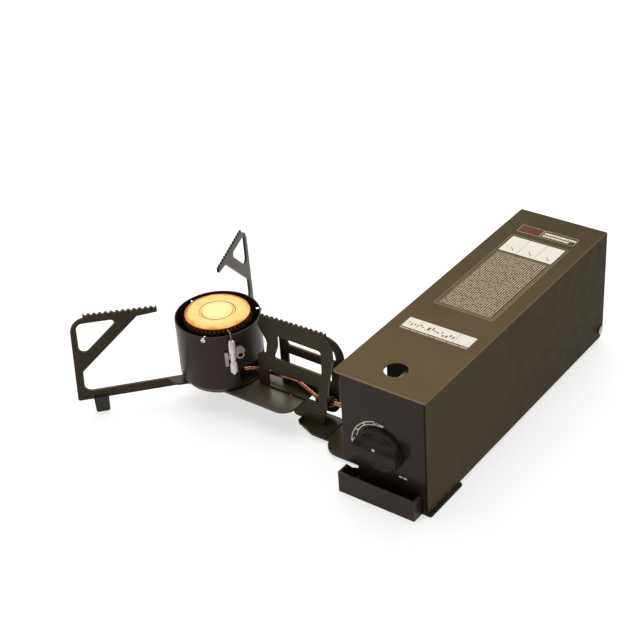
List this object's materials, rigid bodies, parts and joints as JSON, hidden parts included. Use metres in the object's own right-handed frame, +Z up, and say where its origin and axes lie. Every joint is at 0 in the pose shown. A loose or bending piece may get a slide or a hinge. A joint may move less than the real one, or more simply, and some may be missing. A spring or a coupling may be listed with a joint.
{
  "type": "butane cassette stove",
  "caption": "Folding single-burner cassette stove with a sheet-metal case, a hinged cover, a burner arm that swings out and folding pan supports.",
  "frame": {"origin": "on the ground under the middle of the case's front edge", "axes": "+Z up, +Y back along the case, -X along the open burner arm"},
  "size_m": [0.3132, 0.3156, 0.102],
  "materials": {
    "case_paint": "satin olive-brown powder coat",
    "front_paint": "satin dark grey-brown powder coat",
    "arm_paint": "satin black-olive heat-resistant coat",
    "plated_steel": "zinc-plated sheet and turned steel",
    "brass": "turned brass",
    "burner_brass": "brass burner cap, warm from the heat",
    "copper": "copper tube, lightly heat-tinted",
    "cast_alloy": "as-cast burner alloy",
    "ceramic": "white glazed ceramic",
    "white_zinc": "bright zinc screws",
    "knob_plastic": "moulded dark heat-resistant plastic",
    "igniter_plastic": "moulded black plastic",
    "foot_plastic": "moulded dark feet"
  },
  "bodies": {
    "chassis": {"base_plate": "front_paint", "front_panel": "front_paint", "side_rail": "front_paint", "rear_panel": "front_paint", "cartridge_cradle": "plated_steel", "valve_bracket": "plated_steel", "valve_body": "plated_steel", "regulator_housing": "plated_steel", "cartridge_collar": "plated_steel", "piezo_igniter": "igniter_plastic", "pivot_pin": "plated_steel", "pivot_washer": "brass", "outlet_tube": "brass", "cover_hinge_pins": "plated_steel", "valve_screws": "plated_steel"},
    "cover": {"cover": "case_paint"},
    "knob": {"knob": "knob_plastic", "valve_spindle": "brass"},
    "arm": {"arm_plate": "arm_paint", "burner_base": "arm_paint", "right_support_plate": "arm_paint", "rear_web": "arm_paint", "swivel_block": "brass", "gas_pipe": "copper", "pipe_fitting": "plated_steel", "jet_holder": "brass", "mixing_tube": "cast_alloy", "windshield_cup": "arm_paint", "burner_body": "cast_alloy", "burner_ring": "burner_brass", "burner_cap": "burner_brass", "electrode": "ceramic", "electrode_bracket": "plated_steel", "cup_screws": "white_zinc", "support_pivot_screws": "plated_steel"},
    "left_support": {"left_support": "arm_paint", "left_support_foot": "foot_plastic"},
    "rear_support": {"rear_support": "arm_paint", "rear_support_foot": "foot_plastic"}
  },
  "joints": [
    {"name": "arm_swing", "type": "hinge", "parent": "chassis", "child": "arm", "pos_m": [0, 0.046, 0.003], "axis": [0, 0, 1], "range_deg": [-90, 0]},
    {"name": "rear_support_fold", "type": "hinge", "parent": "arm", "child": "rear_support", "pos_m": [-0.2035, 0.067, 0.0195], "axis": [0, 0, 1], "range_deg": [-110, 0]},
    {"name": "left_support_fold", "type": "hinge", "parent": "arm", "child": "left_support", "pos_m": [-0.2035, 0.025, 0.0195], "axis": [0, 0, 1], "range_deg": [0, 132.5]},
    {"name": "cover_hinge", "type": "hinge", "parent": "chassis", "child": "cover", "pos_m": [0, 0.2695, 0.0105], "axis": [-1, 0, 0], "range_deg": [0, 75]},
    {"name": "knob_turn", "type": "hinge", "parent": "chassis", "child": "knob", "pos_m": [0, 0, 0.046], "axis": [0, -1, 0], "range_deg": [0, 95]}
  ],
  "couplings": [
    {"joint": "rear_support_fold", "follows": "arm_swing", "ratio": 1.2222},
    {"joint": "left_support_fold", "follows": "arm_swing", "ratio": -1.4722}
  ]
}
